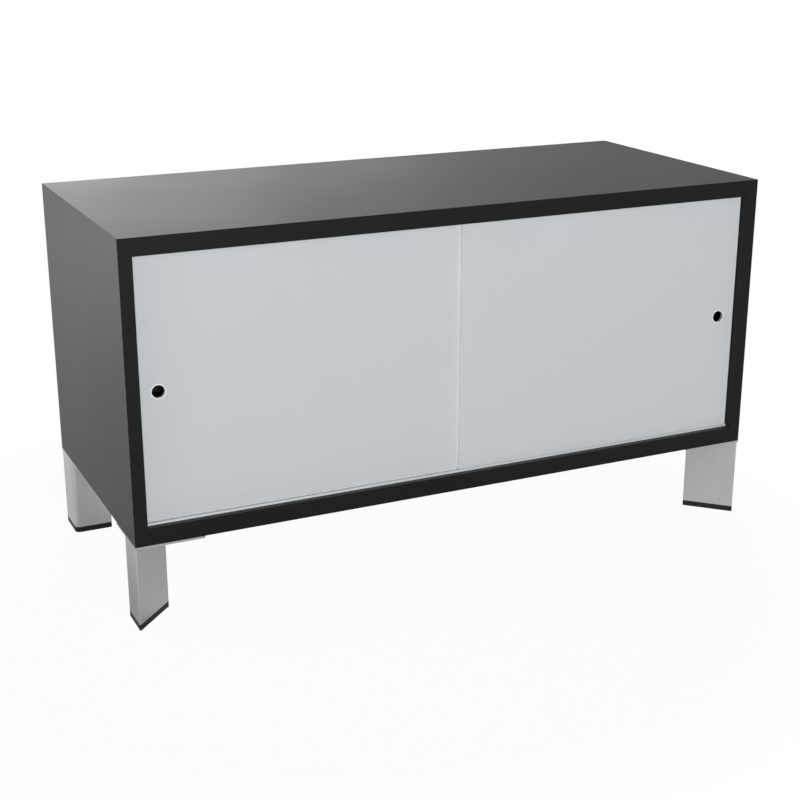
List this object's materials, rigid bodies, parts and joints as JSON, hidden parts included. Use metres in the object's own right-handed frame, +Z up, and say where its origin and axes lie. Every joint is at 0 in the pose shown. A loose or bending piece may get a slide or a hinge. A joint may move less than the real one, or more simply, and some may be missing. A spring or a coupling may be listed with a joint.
{
  "type": "sliding door cabinet",
  "caption": "Low graphite cabinet with black front edges, light grey sliding doors with finger holes, shelves behind them, and triangular metal legs on square plates.",
  "frame": {"origin": "on the floor, under the middle of the cabinet's width and depth", "axes": "+X to the right along the width, +Y to the back, so the doors face -Y, +Z up"},
  "size_m": [1, 0.432, 0.55],
  "materials": {
    "graphite_board": "graphite laminate on board, satin",
    "graphite_back": "graphite laminate on thin board, matt",
    "black_edging": "satin black edging strip",
    "door_grey": "light grey compact laminate, satin",
    "track_grey": "light grey extruded plastic",
    "satin_leg_metal": "satin, light",
    "ring_metal": "satin anodised",
    "black_foot": "black moulded plastic",
    "screw_steel": "zinc plated",
    "pin_steel": "nickel plated",
    "buffer_rubber": "soft grey rubber",
    "beech_dowel": "plain beech",
    "plywood_tongue": "plain birch plywood"
  },
  "bodies": {
    "cabinet": {"top_panel": "graphite_board", "bottom_panel": "graphite_board", "left_side_panel": "graphite_board", "right_side_panel": "graphite_board", "top_front_edging": "black_edging", "bottom_front_edging": "black_edging", "left_front_edging": "black_edging", "right_front_edging": "black_edging", "mitre_tongues": "plywood_tongue", "back_panel": "graphite_back", "centre_divider": "graphite_board", "divider_edging": "black_edging", "divider_dowels": "beech_dowel", "right_shelf": "graphite_board", "right_shelf_edging": "black_edging", "left_shelf": "graphite_board", "left_shelf_edging": "black_edging", "shelf_pins": "pin_steel", "lower_track": "track_grey", "upper_track": "track_grey", "door_buffers": "buffer_rubber", "front_left_leg_plate": "satin_leg_metal", "front_left_leg_tube": "satin_leg_metal", "front_left_leg_foot": "black_foot", "front_right_leg_plate": "satin_leg_metal", "front_right_leg_tube": "satin_leg_metal", "front_right_leg_foot": "black_foot", "back_left_leg_plate": "satin_leg_metal", "back_left_leg_tube": "satin_leg_metal", "back_left_leg_foot": "black_foot", "back_right_leg_plate": "satin_leg_metal", "back_right_leg_tube": "satin_leg_metal", "back_right_leg_foot": "black_foot", "leg_screws": "screw_steel"},
    "left_door": {"left_door_panel": "door_grey", "left_finger_ring": "ring_metal"},
    "right_door": {"right_door_panel": "door_grey", "right_finger_ring": "ring_metal"}
  },
  "joints": [
    {"name": "left_door_slide", "type": "slide", "parent": "cabinet", "child": "left_door", "axis": [1, 0, 0], "range_m": [0, 0.4783]},
    {"name": "right_door_slide", "type": "slide", "parent": "cabinet", "child": "right_door", "axis": [1, 0, 0], "range_m": [-0.4783, 0]}
  ]
}
